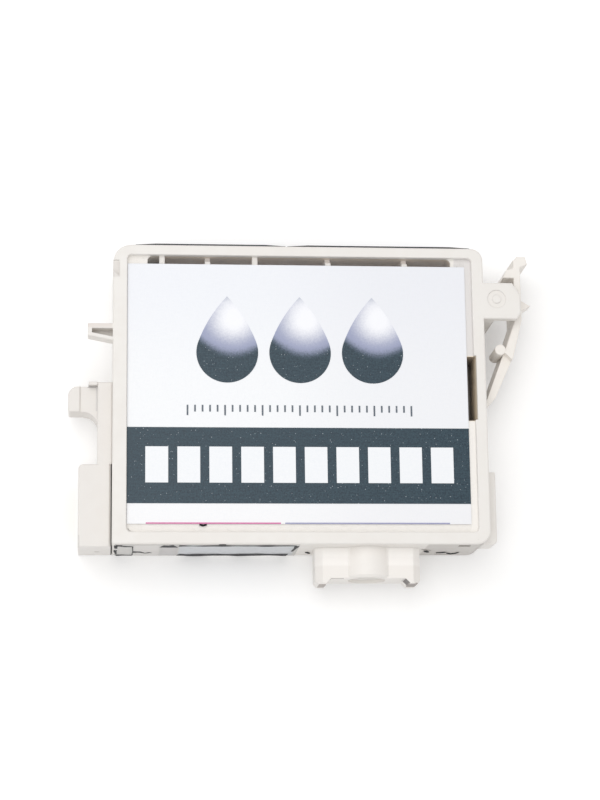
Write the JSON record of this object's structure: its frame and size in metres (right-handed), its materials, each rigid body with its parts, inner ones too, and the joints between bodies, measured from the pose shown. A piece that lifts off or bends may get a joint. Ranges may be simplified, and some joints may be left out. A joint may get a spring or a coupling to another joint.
{
  "type": "inkjet ink cartridge",
  "caption": "Flat single-colour ink cartridge with a label face, a sprung latch lever at one side, a memory chip carrier at the other and a sealed supply port below.",
  "frame": {"origin": "centre of the case's flat back face, which it lies on", "axes": "+X to the right along the case towards the latch lever, +Y up the case away from the supply port, +Z out of the label face"},
  "size_m": [0.0783, 0.0566, 0.0128],
  "materials": {
    "case_plastic": "satin moulded",
    "lever_plastic": "satin moulded",
    "carrier_plastic": "satin moulded",
    "board_laminate": "satin solder mask",
    "gold_pads": "plated",
    "resin_black": "cured resin",
    "seal_rubber": "satin",
    "valve_plastic": "smooth moulded",
    "spring_steel": "drawn wire",
    "regulator_plastic": "smooth moulded",
    "diaphragm_rubber": "smooth",
    "filter_mesh": "woven",
    "membrane_white": "porous",
    "plug_rubber": "smooth",
    "clear_film": "clear film",
    "back_film": "heat sealed film",
    "rear_paper": "coated",
    "label_paper": "coated",
    "band_ink": "printed",
    "bar_ink": "printed",
    "tick_ink": "printed",
    "drop_ink": "printed",
    "warm_ink": "printed",
    "cool_ink": "printed",
    "dark_film": "film strip"
  },
  "bodies": {
    "case": {"case_body": "case_plastic", "chamber_ribs": "case_plastic", "chip_carrier": "carrier_plastic", "chip_board": "board_laminate", "chip_contacts": "gold_pads", "chip_resin": "resin_black", "port_seal": "seal_rubber", "supply_spring": "spring_steel", "regulator_cap": "regulator_plastic", "regulator_diaphragm": "diaphragm_rubber", "regulator_spring": "spring_steel", "ink_filter": "filter_mesh", "vent_membrane": "membrane_white", "fill_plug": "plug_rubber", "back_film": "back_film", "rear_label": "rear_paper", "front_film": "clear_film", "front_label": "label_paper", "top_film_left": "dark_film", "top_film_right": "dark_film", "channel_film": "clear_film", "label_band": "band_ink", "label_level_bars": "bar_ink", "label_ticks": "tick_ink", "label_drops": "drop_ink", "label_warm_line": "warm_ink", "label_cool_line": "cool_ink"},
    "latch": {"latch_lever": "lever_plastic"},
    "valve": {"supply_valve": "valve_plastic"}
  },
  "joints": [
    {"name": "latch_flex", "type": "hinge", "parent": "case", "child": "latch", "pos_m": [0.03195, -0.00105, 0.0063], "axis": [0, 0, 1], "range_deg": [0, 7], "stiffness_Nm_per_rad": 0.15},
    {"name": "supply_valve_slide", "type": "slide", "parent": "case", "child": "valve", "axis": [0, 1, 0], "range_m": [0, 0.002], "stiffness_N_per_m": 200, "springref_m": -0.004, "deforming": ["supply_spring"]}
  ]
}
